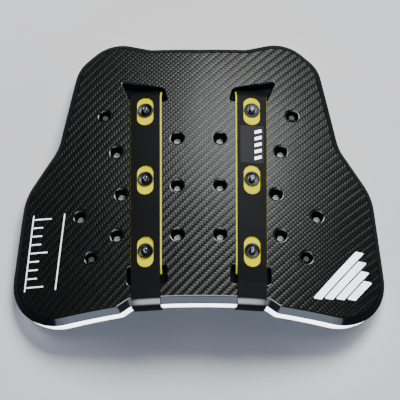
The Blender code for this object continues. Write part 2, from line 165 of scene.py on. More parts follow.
SIDES = (("left", -1), ("right", 1))


def linear(hex_color):
    """Linear RGBA of an sRGB hex colour."""
    channels = [int(hex_color[i:i + 2], 16) / 255 for i in (1, 3, 5)]
    return tuple(c / 12.92 if c <= 0.04045 else ((c + 0.055) / 1.055) ** 2.4 for c in channels) + (1.0,)


def arc_corner(before, corner, after, radius, step):
    """Points of the arc that rounds a corner, at most a step of angle apart."""
    if radius <= 0:
        return [corner]
    to_before = (before - corner).normalized()
    to_after = (after - corner).normalized()
    half_angle = to_before.angle(to_after) / 2
    reach = radius / math.tan(half_angle)
    centre = corner + (to_before + to_after).normalized() * (radius / math.sin(half_angle))
    start = corner + to_before * reach - centre
    turn = start.angle_signed(corner + to_after * reach - centre)
    steps = max(1, math.ceil(abs(turn) / step))
    return [centre + Matrix.Rotation(-turn * i / steps, 2) @ start for i in range(steps + 1)]


def rounded_loop(corners, step=math.radians(5)):
    """A closed outline from corners given as (point, radius)."""
    points = []
    for i, (corner, radius) in enumerate(corners):
        after = corners[(i + 1) % len(corners)][0]
        points += arc_corner(corners[i - 1][0], corner, after, radius, step)
    return points


def rounded_path(corners, step=math.radians(6)):
    """An open path from corners given as (point, radius)."""
    points = [corners[0][0]]
    for before, (corner, radius), after in zip(corners, corners[1:], corners[2:]):
        points += arc_corner(before[0], corner, after[0], radius, step)
    return points + [corners[-1][0]]


def grown(loop, distance):
    """The same outline moved outward all round."""
    area = sum(a.x * b.y - b.x * a.y for a, b in zip(loop, loop[1:] + loop[:1]))
    side = math.copysign(1, area)
    moved = []
    for i, point in enumerate(loop):
        along_in = (point - loop[i - 1]).normalized()
        along_out = (loop[(i + 1) % len(loop)] - point).normalized()
        bisector = Vector((along_in.y + along_out.y, -along_in.x - along_out.x)).normalized()
        spread = bisector.dot(Vector((along_in.y, -along_in.x)))
        moved.append(point + bisector * (side * distance / spread))
    return moved


def plate_outline():
    """Outline of the shell's lower edge, symmetric about the middle."""
    corners = [(Vector((x * HALF_WIDTH, y * HALF_LENGTH)), r * HALF_WIDTH)
               for x, y, r in SIDE_CORNERS]
    notch = STRAP_CENTRE + STRAP_HALF + NOTCH_MARGIN
    corners.append((Vector((notch + NOTCH_STEP, BOTTOM_EDGE - NOTCH_RISE)), NOTCH_RADIUS))
    corners.append((Vector((notch, BOTTOM_EDGE)), NOTCH_RADIUS))
    mirrored = [(Vector((-point.x, point.y)), radius) for point, radius in reversed(corners)]
    return rounded_loop([(Vector((0, NECK_EDGE * HALF_LENGTH)), 0)] + corners + mirrored)


def pocket_loop(side):
    corners = [(Vector((side * (STRAP_CENTRE + x * STRAP_HALF), POCKET_MOUTH + y * POCKET_LENGTH)),
                r * STRAP_HALF) for x, y, r in POCKET_CORNERS]
    return rounded_loop(corners, math.radians(12))


def box_corners(x_from, x_to, y_from, y_to):
    return [Vector(place) for place in ((x_from, y_from), (x_to, y_from), (x_to, y_to), (x_from, y_to))]


def trough_loop(side):
    inner = side * (STRAP_CENTRE - STRAP_HALF - TROUGH_INNER)
    outer = side * (STRAP_CENTRE + STRAP_HALF + TROUGH_OUTER)
    corners = box_corners(inner, outer, TROUGH_END, TROUGH_TOP)
    return rounded_loop([(corner, TROUGH_CORNER) for corner in corners], math.radians(12))


def slot_loop(x, y, width, length):
    """A round-ended slot that runs along Y."""
    across, along = width / 2, length / 2
    corners = box_corners(x - across, x + across, y - along, y + along)
    return rounded_loop([(corner, across * 0.98) for corner in corners], math.radians(9))


def recesses():
    """Outline and depth of each pocket and trough."""
    return [recess for _, side in SIDES
            for recess in ((pocket_loop(side), POCKET_DEPTH), (trough_loop(side), TROUGH_DEPTH))]


def vent_places(places):
    return [(side * x * HALF_WIDTH, y * HALF_LENGTH) for x, y in places for _, side in SIDES]


def all_vents():
    return vent_places(OPEN_VENTS + tuple(PLUGGED_VENTS.values()))


def deselect():
    bpy.ops.object.select_all(action='DESELECT')


def activate(piece):
    deselect()
    piece.select_set(True)
    bpy.context.view_layer.objects.active = piece


def edge_distance(points, loop):
    """How far each point lies from a closed outline."""
    starts = np.array([(p.x, p.y) for p in loop])
    runs = np.roll(starts, -1, axis=0) - starts
    nearest = np.full(len(points), np.inf)
    for start, run in zip(starts, runs):
        offset = points[:, :2] - start
        share = np.clip(offset @ run / (run @ run), 0, 1)
        nearest = np.minimum(nearest, np.linalg.norm(offset - share[:, None] * run, axis=1))
    return nearest


def lay_on_loop(name, loop, height):
    """Add a filled circle with a point for each one of the loop, and lay it on them."""
    deselect()
    bpy.ops.mesh.primitive_circle_add(vertices=len(loop), radius=HALF_WIDTH, fill_type='NGON')
    piece = bpy.context.active_object
    piece.name = name
    piece.data.name = name
    for vert, point in zip(piece.data.vertices, loop):
        vert.co = (point.x, point.y, height)
    return piece


def select_parts(piece, kind, wanted):
    """In edit mode, select just the faces or the edges that pass the test."""
    bpy.ops.mesh.select_mode(type=kind)
    bpy.ops.mesh.select_all(action='DESELECT')
    bm = bmesh.from_edit_mesh(piece.data)
    for part in bm.faces if kind == 'FACE' else bm.edges:
        part.select_set(wanted(part))
    bm.select_flush_mode()
    bmesh.update_edit_mesh(piece.data)


def raised(name, loop, profile):
    """A closed outline built up or down along a profile of (inward, height) points."""
    piece = lay_on_loop(name, loop, profile[0][1])
    bpy.ops.object.mode_set(mode='EDIT')
    bpy.ops.mesh.select_all(action='SELECT')
    first = profile[1][1] - profile[0][1]
    bpy.ops.mesh.extrude_region_move(TRANSFORM_OT_translate={"value": (0, 0, first)})
    bpy.ops.mesh.select_all(action='SELECT')
    bpy.ops.mesh.normals_make_consistent(inside=False)
    way = math.copysign(1, first)
    select_parts(piece, 'FACE', lambda face: face.normal.z * way > 0.9)
    for (inward_0, height_0), (inward_1, height_1) in zip(profile[1:], profile[2:]):
        bpy.ops.mesh.inset(thickness=inward_1 - inward_0, depth=(height_1 - height_0) * way,
                           use_even_offset=True)
    bpy.ops.object.mode_set(mode='OBJECT')
    return piece


def wall(*heights):
    """Start of a profile: straight up or down."""
    return [Vector((0, height)) for height in heights]


def score(piece, x_cuts, y_cuts):
    """Divide a flat piece along lines, so that it follows the pressed surface."""
    activate(piece)
    bpy.ops.object.mode_set(mode='EDIT')
    for axis, cuts in ((0, x_cuts), (1, y_cuts)):
        for place in cuts:
            bpy.ops.mesh.select_all(action='SELECT')
            point, normal = [0.0, 0.0, 0.0], [0.0, 0.0, 0.0]
            point[axis], normal[axis] = place, 1.0
            bpy.ops.mesh.bisect(plane_co=point, plane_no=normal, threshold=0.00001)
    bpy.ops.object.mode_set(mode='OBJECT')


def score_grid(piece, cell):
    """Divide a flat piece by a square grid over the whole plate."""
    x_cuts, y_cuts = ([i * cell for i in range(1 - math.ceil(reach / cell), math.ceil(reach / cell))]
                      for reach in (HALF_WIDTH, HALF_LENGTH))
    score(piece, x_cuts, y_cuts)


def apply_modifier(piece, kind, **settings):
    activate(piece)
    modifier = piece.modifiers.new(kind.lower(), kind)
    for key, value in settings.items():
        setattr(modifier, key, value)
    bpy.ops.object.modifier_apply(modifier=modifier.name)


def combine(piece, operation, tools):
    """Add or cut away tool objects, which are used up."""
    group = bpy.data.collections.new(operation.lower())
    bpy.context.scene.collection.children.link(group)
    for tool in tools:
        group.objects.link(tool)
    apply_modifier(piece, 'BOOLEAN', operation=operation, solver='EXACT',
                   operand_type='COLLECTION', collection=group)
    for tool in tools:
        bpy.data.objects.remove(tool, do_unlink=True)
    bpy.data.collections.remove(group)


def joined(pieces, name):
    deselect()
    for piece in pieces:
        piece.select_set(True)
    bpy.context.view_layer.objects.active = pieces[0]
    if len(pieces) > 1:
        bpy.ops.object.join()
    piece = bpy.context.view_layer.objects.active
    piece.name = name
    piece.data.name = name
    return piece


def points_of(piece):
    points = np.empty(len(piece.data.vertices) * 3)
    piece.data.vertices.foreach_get("co", points)
    return points.reshape(-1, 3)


def set_points(piece, points):
    piece.data.vertices.foreach_set("co", points.astype(np.float32).ravel())
    piece.data.update()


def keep_layout(piece):
    """Keep each point's place on the flat sheet, in metres, as the UV map called layout."""
    mesh = piece.data
    layer = mesh.uv_layers.get("layout") or mesh.uv_layers.new(name="layout")
    points = points_of(piece)
    corners = np.empty(len(mesh.loops), dtype=np.int32)
    mesh.loops.foreach_get("vertex_index", corners)
    layer.data.foreach_set("uv", points[corners, :2].astype(np.float32).ravel())


def pressed(points):
    """Where points of the flat layout lie on the plate as it rests on a table."""
    x, y, depth = points.T
    along = y - CREST_OFFSET
    arch = np.sqrt(ARCH_RADIUS ** 2 - x ** 2)
    sweep = np.sqrt(LENGTHWISE_RADIUS ** 2 - along ** 2)
    normal = np.stack((x / arch, along / sweep, np.ones_like(x)), 1)
    normal /= np.linalg.norm(normal, axis=1, keepdims=True)
    surface = np.stack((x, y, arch - ARCH_RADIUS + sweep - LENGTHWISE_RADIUS), 1)
    turn = np.array(Matrix.Rotation(LEAN, 3, 'X'))
    return (surface + depth[:, None] * normal) @ turn.T + np.array(REST_SHIFT)


def press_down(piece):
    """Note the flat layout on a finished sheet, then press it to the plate."""
    keep_layout(piece)
    set_points(piece, pressed(points_of(piece)))


def upright(points):
    """Slide a turned form sideways with its depth, so that pressing stands its axis upright."""
    x, y = points[:, 0].mean(), points[:, 1].mean()
    along = y - CREST_OFFSET
    slope = Vector((x / math.sqrt(ARCH_RADIUS ** 2 - x ** 2),
                    along / math.sqrt(LENGTHWISE_RADIUS ** 2 - along ** 2), 1)).normalized()
    moved = points.copy()
    moved[:, 0] -= points[:, 2] * slope.x
    moved[:, 1] -= points[:, 2] * slope.y
    return moved


def face_measures(piece):
    """Centre of each face, its lowest and highest point, and whether it faces up."""
    heights = points_of(piece)[:, 2]
    faces = piece.data.polygons
    centres = np.array([face.center for face in faces])
    bottoms, tops = (np.array([pick(heights[i] for i in face.vertices) for face in faces])
                     for pick in (min, max))
    return centres, bottoms, tops, np.array([face.normal.z > 0.5 for face in faces])


def paint(piece, kinds):
    """Give each face the material of its kind."""
    for face, kind in zip(piece.data.polygons, kinds):
        face.material_index = int(kind)


def finish_piece(piece, materials, angle):
    """Smooth the piece, give it its materials and hang it on the protector's body."""
    activate(piece)
    piece.data.materials.clear()
    for material in materials:
        piece.data.materials.append(material)
    bpy.ops.object.shade_smooth_by_angle(angle=math.radians(angle))
    apply_modifier(piece, 'WEIGHTED_NORMAL', mode='FACE_AREA', weight=60, keep_sharp=True)
    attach(piece, "root")


def feed(tree, node, inputs):
    """Give each input of a node its value, or link it to a socket or to a node's first output."""
    for key, value in dict(inputs).items():
        if isinstance(value, bpy.types.Node):
            value = value.outputs[0]
        if isinstance(value, bpy.types.NodeSocket):
            tree.links.new(value, node.inputs[key])
        else:
            node.inputs[key].default_value = value


def add_node(tree, kind, inputs=(), **settings):
    """Add a node with its settings and inputs."""
    node = tree.nodes.new(kind)
    for key, value in settings.items():
        setattr(node, key, value)
    feed(tree, node, inputs)
    return node


def new_material(name):
    material = bpy.data.materials.new(name)
    material.use_nodes = True
    return material, material.node_tree, material.node_tree.nodes["Principled BSDF"]


def mottled(tree, color, cloud, low, high):
    """A colour broken by a cloud of noise into tones between two levels."""
    tone = add_node(tree, 'ShaderNodeMapRange', {"Value": cloud, 1: 0.3, 2: 0.7,
                    3: low, 4: high})
    base = add_node(tree, 'ShaderNodeMix', {"Factor": 1.0, 6: linear(color), 7: tone},
                    data_type='RGBA', blend_type='MULTIPLY')
    return base.outputs[2]


def carbon_twill(look):
    """Carbon fibre laminate: 2/2 twill of 2 mm tows pressed under a thin satin resin.

    A tow shines only where light crosses its fibres, so the tows that run across light up over the
    middle of the chest and go black on the wings, where the lengthwise ones stay grey. The tows that
    run across are also coloured lighter than the lengthwise ones, which is painted sheen.
    """
    material, tree, shader = new_material("carbon_twill_laminate")
    place = add_node(tree, 'ShaderNodeUVMap', uv_map="layout")
    tows = add_node(tree, 'ShaderNodeVectorMath', {0: place, "Scale": 1 / look.tow_width},
                    operation='SCALE')
    across = add_node(tree, 'ShaderNodeSeparateXYZ', {0: tows})
    u, v = across.outputs[0], across.outputs[1]
    column = add_node(tree, 'ShaderNodeMath', {0: u}, operation='FLOOR')
    row = add_node(tree, 'ShaderNodeMath', {0: v}, operation='FLOOR')
    step = add_node(tree, 'ShaderNodeMath', {0: column, 1: row}, operation='SUBTRACT')
    phase = add_node(tree, 'ShaderNodeMath', {0: step, 1: 4.0}, operation='FLOORED_MODULO')
    weft = add_node(tree, 'ShaderNodeMath', {0: phase, 1: 1.5}, operation='LESS_THAN')
    in_column = add_node(tree, 'ShaderNodeMath', {0: u}, operation='FRACT')
    in_row = add_node(tree, 'ShaderNodeMath', {0: v}, operation='FRACT')

    # Place along a float that spans two tows, from 0 to 2, for tows across and lengthwise
    weft_run = add_node(tree, 'ShaderNodeMath', {0: phase, 1: in_column}, operation='ADD')
    warp_start = add_node(tree, 'ShaderNodeMath', {0: 3.0, 1: phase}, operation='SUBTRACT')
    warp_run = add_node(tree, 'ShaderNodeMath', {0: warp_start, 1: in_row}, operation='ADD')
    run = add_node(tree, 'ShaderNodeMix', {"Factor": weft, 2: warp_run, 3: weft_run}, data_type='FLOAT')
    beside = add_node(tree, 'ShaderNodeMix', {"Factor": weft, 2: in_column, 3: in_row}, data_type='FLOAT')
    along = add_node(tree, 'ShaderNodeMath', {0: run, 1: math.pi / 2}, operation='MULTIPLY')
    arch = add_node(tree, 'ShaderNodeMath', {0: along}, operation='SINE')
    side = add_node(tree, 'ShaderNodeMath', {0: beside, 1: math.pi}, operation='MULTIPLY')
    crown = add_node(tree, 'ShaderNodeMath', {0: side}, operation='SINE')
    height = add_node(tree, 'ShaderNodeMath', {0: arch, 1: crown}, operation='MULTIPLY')
    lift = add_node(tree, 'ShaderNodeMath', {0: height, 1: 0.5}, operation='POWER')

    # Uneven wetting of the cloth, and a tone of its own for each float
    patchy = add_node(tree, 'ShaderNodeTexNoise', {"Vector": place, "Scale": 28.0,
                      "Detail": 3.0, "Roughness": 0.6})
    floats = add_node(tree, 'ShaderNodeCombineXYZ', {0: column, 1: row})
    tow_tone = add_node(tree, 'ShaderNodeTexWhiteNoise', {"Vector": floats},
                        noise_dimensions='2D')

    # The tows that run across take a lighter colour than the lengthwise ones: painted sheen, on top of the
    # anisotropic shine
    fibre = add_node(tree, 'ShaderNodeMix', {"Factor": weft, 6: linear(look.warp_color),
                     7: linear(look.weft_color_and_sheen)}, data_type='RGBA')
    # Each float fades to the gap colour towards its sides and ends: the dark resin between the tows, and
    # painted shade down each tow's rounded flanks and ends
    cloth = add_node(tree, 'ShaderNodeMix', {"Factor": lift, 6: linear(look.gap_resin_and_shade_color),
                     7: fibre.outputs[2]}, data_type='RGBA')
    wetting = add_node(tree, 'ShaderNodeMapRange', {"Value": patchy, 1: 0.3, 2: 0.7,
                       3: 0.82, 4: 1.12})
    sparkle = add_node(tree, 'ShaderNodeMapRange', {"Value": tow_tone, 3: 0.80, 4: 1.20})
    tone = add_node(tree, 'ShaderNodeMath', {0: wetting, 1: sparkle},
                    operation='MULTIPLY')
    toned = add_node(tree, 'ShaderNodeMix', {"Factor": 1.0, 6: cloth.outputs[2],
                     7: tone}, data_type='RGBA', blend_type='MULTIPLY')

    relief = add_node(tree, 'ShaderNodeBump', {"Height": height, "Strength": look.weave_relief,
                      "Distance": 0.0003})
    grain = add_node(tree, 'ShaderNodeTangent', direction_type='UV_MAP', uv_map="layout")
    turn = add_node(tree, 'ShaderNodeMath', {0: weft, 1: 0.25}, operation='MULTIPLY')
    feed(tree, shader, {
        "Base Color": toned.outputs[2], "Normal": relief, "Tangent": grain,
        "Anisotropic Rotation": turn, "Anisotropic": 0.7, "Metallic": 0.85,
        "Roughness": 0.42, "Coat Weight": 0.06, "Coat Roughness": 0.25})
    return material


def plastic(name, color, swing, grain, relief):
    """Plastic of one pigment, broken by faint flow marks, under a fine tool texture.

    The texture's grain is drawn coarser than a real one, so that it shows.
    """
    material, tree, shader = new_material(name)
    place = add_node(tree, 'ShaderNodeTexCoord')
    flow = add_node(tree, 'ShaderNodeTexNoise', {"Vector": place.outputs["Object"], "Scale": 45.0,
                    "Detail": 4.0, "Roughness": 0.55})
    tool = add_node(tree, 'ShaderNodeTexNoise', {"Vector": place.outputs["Object"], "Scale": 1 / grain,
                    "Detail": 2.0})
    skin = add_node(tree, 'ShaderNodeBump', {"Height": tool, "Strength": relief,
                    "Distance": 0.0001})
    feed(tree, shader, {"Base Color": mottled(tree, color, flow, 1 - swing, 1 + swing),
                        "Normal": skin})
    return material, tree, shader, flow


def moulded(name, color, roughness, sheen_level, grain, relief):
    """Moulded plastic with an even finish, slightly worn in patches."""
    material, tree, shader, flow = plastic(name, color, 0.12, grain, relief)
    worn = add_node(tree, 'ShaderNodeMapRange', {"Value": flow, 1: 0.3, 2: 0.7,
                    3: roughness - 0.05, 4: roughness + 0.05})
    feed(tree, shader, {"Roughness": worn, "Specular IOR Level": sheen_level})
    return material


def part_polished(name, color, gloss_place, spread):
    """Dull black finish, rubbed to a gloss round one place of the flat layout.

    The place's distance across counts by the spread, so that nought polishes the full width.
    """
    material, tree, shader, _ = plastic(name, color, 0.15, 1 / 1400, 0.1)
    centre, reach, fade = gloss_place
    sheet = add_node(tree, 'ShaderNodeUVMap', uv_map="layout")
    across = add_node(tree, 'ShaderNodeVectorMath', {0: sheet, 1: (spread, 1, 0)},
                      operation='MULTIPLY')
    away = add_node(tree, 'ShaderNodeVectorMath', {0: across, 1: (0, centre, 0)},
                    operation='DISTANCE')
    gloss = add_node(tree, 'ShaderNodeMapRange', {"Value": away.outputs["Value"], 1: reach, 2: reach + fade,
                     3: 1.0, 4: 0.0}, interpolation_type='SMOOTHSTEP')
    feed(tree, shader, {"Coat Weight": gloss, "Roughness": 0.5, "Specular IOR Level": 0.03,
                        "Coat Roughness": 0.12})
    return material


def snap_metal(name, color, roughness):
    """Nickel-plated brass, turned and stamped, with small dull patches."""
    material, tree, shader = new_material(name)
    place = add_node(tree, 'ShaderNodeTexCoord')
    cloud = add_node(tree, 'ShaderNodeTexNoise', {"Vector": place.outputs["Object"], "Scale": 900.0,
                     "Detail": 3.0})
    dull = add_node(tree, 'ShaderNodeMapRange', {"Value": cloud, 1: 0.3, 2: 0.7,
                    3: roughness - 0.05, 4: roughness + 0.08})
    feed(tree, shader, {"Base Color": mottled(tree, color, cloud, 0.85, 1.1),
                        "Roughness": dull, "Metallic": 1.0})
    return material


def cell_foam(name, color, cell):
    """Closed-cell foam sheet: matt, with fine cells that dimple the skin and soften the light.

    The cells are drawn coarser than real ones, so that they show.
    """
    material, tree, shader = new_material(name)
    place = add_node(tree, 'ShaderNodeTexCoord')
    cells = add_node(tree, 'ShaderNodeTexVoronoi', {"Vector": place.outputs["Object"], "Scale": 1 / cell})
    cloud = add_node(tree, 'ShaderNodeTexNoise', {"Vector": place.outputs["Object"], "Scale": 30.0,
                     "Detail": 3.0})
    dimple = add_node(tree, 'ShaderNodeBump', {"Height": cells, "Strength": 0.35,
                      "Distance": cell / 3})
    feed(tree, shader, {"Base Color": mottled(tree, color, cloud, 0.95, 1.0),
                        "Normal": dimple, "Roughness": 0.8})
    return material


class ShellSettings(bpy.types.PropertyGroup):
    cell: bpy.props.FloatProperty(name="Cell", description="Spacing of the lines that divide the shell",
                                  default=0.005, min=0.002, unit='LENGTH')
    crease_radius: bpy.props.FloatProperty(name="Crease radius", unit='LENGTH', default=0.0028,
                                           description="Rounding where the rim turns down")
    lip_radius: bpy.props.FloatProperty(name="Lip radius", unit='LENGTH', default=0.0022,
                                        description="Rounding round vents and recesses")
    tow_width: bpy.props.FloatProperty(name="Tow width", unit='LENGTH', default=0.00207,
                                       description="Width of one tow of the twill")
    weave_relief: bpy.props.FloatProperty(name="Weave relief", default=0.8, min=0, max=1,
                                          description="How strongly the tows stand out")
    # The weft colour is lighter than the warp colour of the same fibre: painted sheen on the tows that run
    # across
    weft_color_and_sheen: bpy.props.StringProperty(name="Weft colour", default="#252624",
                                         description="Tows that run across, as sRGB hex")
    warp_color: bpy.props.StringProperty(name="Warp colour", default="#151716",
                                         description="Tows that run lengthwise, as sRGB hex")
    # The gap colour is the dark resin between the tows, and also painted shade where each float fades to it
    # at its sides and ends
    gap_resin_and_shade_color: bpy.props.StringProperty(name="Gap colour", default="#060707",
                                        description="Resin between the tows, as sRGB hex")
    rim_color: bpy.props.StringProperty(name="Rim colour", default="#050506",
                                        description="Black gel coat of rim and lips, as sRGB hex")


class FoamSettings(bpy.types.PropertyGroup):
    cell: bpy.props.FloatProperty(name="Cell", description="Spacing of the lines that divide the foam",
                                  default=0.006, min=0.002, unit='LENGTH')
    edge_radius: bpy.props.FloatProperty(name="Edge radius", unit='LENGTH', default=0.0009,
                                         description="Rounding of the foam's edges")
    color: bpy.props.StringProperty(name="Colour", default="#FAFBFD",
                                    description="Foam colour, as sRGB hex")
    # The socket colour is painted shade: grey put on the white foam at the vents' bottoms, which lie in shade
    floor_color: bpy.props.StringProperty(name="Socket colour", default="#9A9B96",
                                          description="Scrim seen down the vents, as sRGB hex")
    plug_color: bpy.props.StringProperty(name="Plug colour", default="#1E1F20",
                                         description="Colour of the funnel plugs, as sRGB hex")


class StrapSettings(bpy.types.PropertyGroup):
    edge_radius: bpy.props.FloatProperty(name="Edge radius", unit='LENGTH', default=0.00025,
                                         description="Rounding of strap edges")
    strap_color: bpy.props.StringProperty(name="Strap colour", default="#08090A",
                                          description="Colour of the straps, as sRGB hex")
    backing_color: bpy.props.StringProperty(name="Backing colour", default="#A39B00",
                                            description="Colour of the strips below, as sRGB hex")


class StudSettings(bpy.types.PropertyGroup):
    sides: bpy.props.IntProperty(name="Sides", description="Facets round each stud", default=40, min=12)
    # The flange is given a darker plating colour than the head
    flange_color: bpy.props.StringProperty(name="Flange colour", default="#242527",
                                           description="Darkened plating of the flange, as sRGB hex")
    head_color: bpy.props.StringProperty(name="Head colour", default="#47484C",
                                         description="Bright plating of the head, as sRGB hex")


class MarkingSettings(bpy.types.PropertyGroup):
    color: bpy.props.StringProperty(name="Ink", description="Printed markings, as sRGB hex",
                                    default="#F4F7FA")
    patch_color: bpy.props.StringProperty(name="Patch", description="Patch on the right strap, as sRGB hex",
                                          default="#1B1C1E")


class StageSettings(bpy.types.PropertyGroup):
    floor_color: bpy.props.StringProperty(name="Floor colour", default="#B2B2B4",
                                          description="Pale paper floor, as sRGB hex")
    key_power: bpy.props.FloatProperty(name="Key power", description="Softbox behind and above",
                                       default=285.0, min=0, unit='POWER')
    front_power: bpy.props.FloatProperty(name="Front power", description="Softbox above the front",
                                         default=38.0, min=0, unit='POWER')
    card_power: bpy.props.FloatProperty(name="Card power", description="Dim card low at the front",
                                        default=44.0, min=0, unit='POWER')
    foam_power: bpy.props.FloatProperty(name="Foam power", description="Low card that lights the foam alone",
                                        default=90.0, min=0, unit='POWER')
    distance: bpy.props.FloatProperty(name="Camera distance", description="From lens to protector",
                                      default=12.0, min=0.5, unit='LENGTH')


GROUPS = {"shell": ShellSettings, "foam": FoamSettings, "straps": StrapSettings, "studs": StudSettings,
          "markings": MarkingSettings, "studio": StageSettings}


def rim_profile(radius):
    """From the shell's lower edge up the pressed rim to the flat, with every turn rounded."""
    corners = [(Vector((0, -SHELL_THICKNESS)), 0), (Vector((0, -RIM_DROP)), 0.0006),
               (Vector((RIM_WIDTH, 0)), radius), (Vector((RIM_WIDTH + FLAT_END, 0)), 0)]
    return rounded_path(corners, math.radians(9))[:-1]


def recess_profile(radius, depth, draft):
    """From above the surface over a rounded lip, down a drafted wall and round into the floor."""
    corners = [(Vector((0, 0)), 0), (Vector((radius, 0)), radius * 0.98),
               (Vector((radius + draft, -depth)), 0.0005), (Vector((radius + draft + 0.004, -depth)), 0)]
    lip = rounded_path(corners, math.radians(11))[:-1]
    return wall(OVERLAP, 0) + lip[1:]


def circle_loop(x, y, radius, sides=36):
    return [Vector((x + radius * math.cos(math.tau * i / sides), y + radius * math.sin(math.tau * i / sides)))
            for i in range(sides)]


def vent_profile(lip):
    """From above the surface over the rounded lip and down the cone, past the shell's back."""
    slope = (VENT_RADIUS - VENT_THROAT) / VENT_DEPTH
    corners = [(Vector((0, 0)), 0), (Vector((lip, 0)), lip * 0.95),
               (Vector((lip + slope * (VENT_DEPTH + 0.001), -VENT_DEPTH - 0.001)), 0)]
    return wall(OVERLAP, 0) + rounded_path(corners, math.radians(11))[1:]


def funnel_at(x, y, start, end, margin):
    """A plain frustum round a vent's cone between two depths."""
    slope = (VENT_RADIUS - VENT_THROAT) / VENT_DEPTH
    wide, narrow = (VENT_RADIUS - slope * depth + margin for depth in (start, end))
    profile = wall(-start, -end + 0.0002) + [Vector((wide - narrow, -end))]
    funnel = raised("funnel", circle_loop(x, y, wide), profile)
    set_points(funnel, upright(points_of(funnel)))
    return funnel


class PROTECTOR_OT_shell(bpy.types.Operator):
    """Make the laminate shell with its pressed rim, vents, pockets and troughs"""
    bl_idname = "protector.shell"
    bl_label = "Shell"

    def execute(self, context):
        look = context.scene.protector_shell
        shell = raised("shell_plate", plate_outline(), rim_profile(look.crease_radius))
        score_grid(shell, look.cell)
        bosses, cutters = [], []
        recess_lip = look.lip_radius / 2
        root_depth = SHELL_THICKNESS - OVERLAP
        for x, y in all_vents():
            bosses.append(funnel_at(x, y, root_depth, VENT_DEPTH - GAP, WALL))
            cutter = raised("vent", circle_loop(x, y, VENT_RADIUS + look.lip_radius),
                            vent_profile(look.lip_radius))
            set_points(cutter, upright(points_of(cutter)))
            cutters.append(cutter)
        for loop, depth in recesses():
            bosses.append(raised("boss", grown(loop, WALL), wall(-root_depth, -depth - WALL)))
            cutters.append(raised("recess", grown(loop, recess_lip / 2),
                                  recess_profile(recess_lip, depth, 0.0003)))
        combine(shell, 'UNION', bosses)
        combine(shell, 'DIFFERENCE', cutters)
        centres, bottoms, tops, upward = face_measures(shell)
        on_rim = edge_distance(centres, plate_outline()) < RIM_WIDTH + RIM_MARGIN
        dull = np.where(on_rim, tops < -RIM_DROP + 0.0003, tops < -LIP_DEPTH)
        kinds = np.where((bottoms > -FACE_SLACK) & upward, 0, np.where(dull, 2, np.where(on_rim, 3, 1)))
        press_down(shell)
        # Twill face, gel coat on lips, dull skin down the recesses, and the coated rim
        finish_piece(shell, [carbon_twill(look),
                             moulded("black_gel_coat", look.rim_color, 0.18, 0.42, 0.0012, 0.05),
                             moulded("black_satin_skin", look.rim_color, 0.5, 0.015, 0.0012, 0.05),
                             part_polished("black_rim_coat", look.rim_color, RIM_GLOSS, 1)], 32)
        paint(shell, kinds)
        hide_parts("front_shell")
        return {'FINISHED'}


# Top of a plug, a low ring round a dished middle: how far in from its shoulder, and height
PLUG_CROWN = ((0.0004, -0.0004), (0.0007, 0.0), (0.0011, 0.0001), (0.0014, -0.0002),
              (0.0018, -0.0003), (0.0026, -0.0001))


class PROTECTOR_OT_foam(bpy.types.Operator):
    """Make the foam liner behind the shell and the plugs in the four outer funnels"""
    bl_idname = "protector.foam"
    bl_label = "Foam"

    def execute(self, context):
        look = context.scene.protector_foam
        loop = grown(plate_outline(), FOAM_FLARE)
        half = FOAM_THICKNESS / 2
        corners = [(Vector((0, FOAM_BOTTOM)), 0), (Vector((0, FOAM_BOTTOM + half)), 0.004),
                   (Vector((FOAM_FLARE + FOAM_SETBACK, FOAM_TOP)), look.edge_radius / 2),
                   (Vector((FLAT_END, FOAM_TOP)), 0)]
        liner = raised("foam_sheet", loop, rounded_path(corners, math.radians(12))[:-1])
        bpy.ops.object.mode_set(mode='EDIT')
        select_parts(liner, 'EDGE', lambda edge: all(v.co.z < FOAM_BOTTOM + 0.0001 for v in edge.verts))
        bpy.ops.mesh.bevel(offset=look.edge_radius, segments=5, affect='EDGES', clamp_overlap=True)
        bpy.ops.object.mode_set(mode='OBJECT')
        score_grid(liner, look.cell)
        sockets = [funnel_at(x, y, -FOAM_TOP - OVERLAP, VENT_DEPTH, WALL + GAP) for x, y in all_vents()]
        for loop, depth in recesses():
            sockets.append(raised("socket", grown(loop, WALL + GAP),
                                  wall(FOAM_TOP + OVERLAP, -depth - WALL - GAP)))
        combine(liner, 'DIFFERENCE', sockets)
        _, _, tops, upward = face_measures(liner)
        # Socket floors at the vents' bottoms, painted grey as shade on the white foam
        painted_shade_floors = (tops < FOAM_TOP - SOCKET_DEPTH) & upward
        press_down(liner)
        # White foam, and the grey painted shade on the socket floors
        finish_piece(liner, [cell_foam("white_cell_foam", look.color, 0.0009),
                             cell_foam("foam_socket_painted_shade", look.floor_color, 0.0006)], 40)
        paint(liner, painted_shade_floors)
        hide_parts("foam_liner")

        # Cellular rubber, dark grey
        rubber = cell_foam("grey_cell_rubber", look.plug_color, 0.0005)
        slope = (VENT_RADIUS - VENT_THROAT) / VENT_DEPTH
        for (word, side), (name, (x, y)) in [(s, p) for s in SIDES for p in PLUGGED_VENTS.items()]:
            end = VENT_DEPTH - GAP
            low, high = (VENT_RADIUS - slope * depth - GAP for depth in (end, PLUG_DEPTH))
            place = (side * x * HALF_WIDTH, y * HALF_LENGTH)
            profile = wall(-end, -end + 0.0004)
            profile += [Vector((low - high + inward, rise - PLUG_DEPTH)) for inward, rise in PLUG_CROWN]
            plug = raised("plug_" + word + "_" + name, circle_loop(*place, low), profile)
            set_points(plug, pressed(upright(points_of(plug))))
            finish_piece(plug, [rubber], 60)
            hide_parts("liner_plug_" + word + "_" + name)
        return {'FINISHED'}


